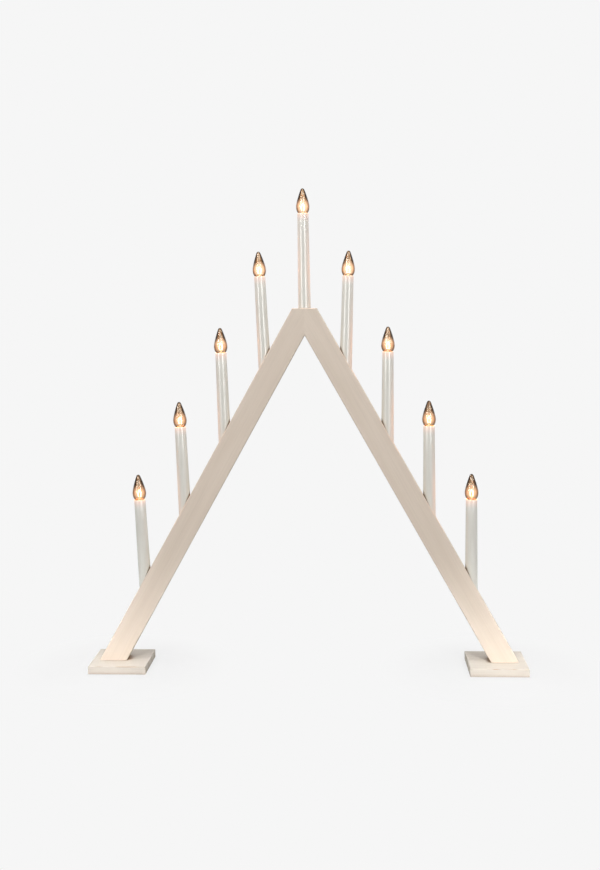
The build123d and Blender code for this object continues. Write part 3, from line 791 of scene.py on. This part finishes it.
level = add_node(sky, "ShaderNodeMath", {
    0: from_side.outputs["Result"], 1: from_above.outputs["Result"]}, operation="ADD")
room = add_node(sky, "ShaderNodeBackground", {
    "Color": colour("FAFAFA"), "Strength": level.outputs["Value"]})
backdrop = add_node(sky, "ShaderNodeBackground", {"Color": colour("F6F6F6"), "Strength": 1.0})
either = add_node(sky, "ShaderNodeMixShader", {
    0: seen_through.outputs["Value"], 1: room.outputs["Background"],
    2: backdrop.outputs["Background"]})
add_node(sky, "ShaderNodeOutputWorld", {"Surface": either.outputs["Shader"]})


def panel(name, place, target, width, height, power, hex_value, only_shine=False, in_glass=False):
    """A soft rectangular lamp aimed at a point, which is seen as shine and in glass at the most."""
    data = bpy.data.lights.new(name, "AREA")
    data.shape = "RECTANGLE"
    data.size, data.size_y = width, height
    data.energy = power
    data.color = colour(hex_value)[:3]
    lamp = bpy.data.objects.new(name, data)
    lamp.location = place
    lamp.rotation_euler = (Vector(target) - Vector(place)).to_track_quat("-Z", "Y").to_euler()
    lamp.visible_camera = False
    lamp.visible_transmission = in_glass
    lamp.visible_diffuse = not only_shine
    bpy.context.scene.collection.objects.link(lamp)


middle = (cad_low + cad_high) / 2
SHINE_Y = -1.1                      # how far in front of the arch the shine panels stand
panel("front_panel", (-0.4, -2.2, 1.5), middle, 1.6, 1.2, 4.5, "FFFDFA")
panel("top_panel", (0, -0.3, 1.6), (0, 0, 0), 0.9, 0.4, 9, "FFFFFF")
for name, x in (("left_streak", -1.1), ("right_streak", 0.74)):
    panel(name, (x, SHINE_Y, 0.60), (0, 0, 0.60), 0.4, 0.6, 10, "FFFFFF", only_shine=True)
    panel(name + "_low", (x, SHINE_Y, 0.20), (0, 0, 0.20), 0.4, 0.2, 2.2, "FFFFFF", only_shine=True)
for name, x, power in (("left_tip_shine", -0.8, 14), ("right_tip_shine", 0.6, 6)):
    panel(name, (x, SHINE_Y, 1.25), (0, 0, 0.4), 0.3, 0.8, power, "FFFFFF",
          only_shine=True, in_glass=True)


def foot_spot(name, place, target, power):
    """A narrow round lamp with a soft edge, aimed at a point."""
    data = bpy.data.lights.new(name, "SPOT")
    data.spot_size = math.radians(SPOT_DEGREES)
    data.spot_blend = 1.0
    data.shadow_soft_size = SPOT_RADIUS
    data.energy = power
    lamp = bpy.data.objects.new(name, data)
    lamp.location = place
    lamp.rotation_euler = (Vector(target) - Vector(place)).to_track_quat("-Z", "Y").to_euler()
    bpy.context.scene.collection.objects.link(lamp)


FOOT_X = 0.195
SPOT_DEGREES = 11
SPOT_RADIUS = 80 * MM
foot_spot("left_foot_spot", (-0.5, -0.9, 0.6), (-FOOT_X, -0.02, -0.03), 53)
foot_spot("right_foot_spot", (0.5, -0.9, 0.6), (FOOT_X, -0.02, -0.03), 62)
LAMP_HEIGHT = 7 * MM                # of the small lamp over the rim, in the middle of the glass
LAMP_RADIUS = 2 * MM
for number in CANDLES:
    data = bpy.data.lights.new(f"bulb_{number}_light", "POINT")
    data.energy = 0.03
    data.shadow_soft_size = LAMP_RADIUS
    data.color = colour("FF9C60")[:3]
    lamp = bpy.data.objects.new(data.name, data)
    lamp.location = candle_place(number) @ Vector((0, 0, LAMP_HEIGHT))
    lamp.visible_camera = lamp.visible_transmission = lamp.visible_glossy = False
    bpy.context.scene.collection.objects.link(lamp)

# %% [markdown]
# ## Floor
# In the photograph the floor is as pale as the wall and has no edge. A camera ray sees the floor
# as that flat colour, apart from the ground round each foot. There part of it is the lit paper
# itself, which keeps the soft shadow of the arch. Other rays see plain white paper everywhere,
# which throws its light back up at the arch.

# %% Floor
FLOOR_SIZE = 30.0
SHADOW_SHARE = 0.15                 # of the lit paper, in the soft shadow round a foot
SHADOW_NEAR = 40 * MM
SHADOW_FAR = 120 * MM
PAPER = "C6C6C6"
deselect()
bpy.ops.mesh.primitive_plane_add(size=FLOOR_SIZE, location=(0, 0, 0))
floor = bpy.context.object
floor.name = "floor"
floor_paint, floor_tree, floor_output = new_material("floor_paper")
floor_rays = add_node(floor_tree, "ShaderNodeLightPath")
lit_floor = add_node(floor_tree, "ShaderNodeBsdfDiffuse", {"Color": colour(PAPER)})
flat_floor = add_node(floor_tree, "ShaderNodeEmission", {"Color": colour("F6F6F6"), "Strength": 1.0})
floor_place = add_node(floor_tree, "ShaderNodeTexCoord")
near_feet = []
for x in (-FOOT_X, FOOT_X):
    away = add_node(floor_tree, "ShaderNodeVectorMath", {
        0: floor_place.outputs["Object"], 1: (x, 0, 0)}, operation="DISTANCE")
    near_feet.append(add_node(floor_tree, "ShaderNodeMapRange", {
        "Value": away.outputs["Value"], "From Min": SHADOW_FAR, "From Max": SHADOW_NEAR,
        "To Min": 0.0, "To Max": SHADOW_SHARE}, interpolation_type="SMOOTHSTEP"))
lit_share = add_node(floor_tree, "ShaderNodeMath", {
    0: near_feet[0].outputs["Result"], 1: near_feet[1].outputs["Result"]}, operation="MAXIMUM")
flat_share = add_node(floor_tree, "ShaderNodeMath", {
    0: 1.0, 1: lit_share.outputs["Value"]}, operation="SUBTRACT")
shown = add_node(floor_tree, "ShaderNodeMath", {
    0: floor_rays.outputs["Is Camera Ray"], 1: flat_share.outputs["Value"]}, operation="MULTIPLY")
both = add_node(floor_tree, "ShaderNodeMixShader", {
    0: shown.outputs["Value"], 1: lit_floor.outputs["BSDF"], 2: flat_floor.outputs["Emission"]})
floor_tree.links.new(both.outputs["Shader"], floor_output.inputs["Surface"])
floor.data.materials.append(floor_paint)
print("floor size in m:", FLOOR_SIZE)

# %% [markdown]
# ## Finish
# The colours are shown as they are.

# %% Colour management
bpy.context.scene.view_settings.view_transform = "Standard"
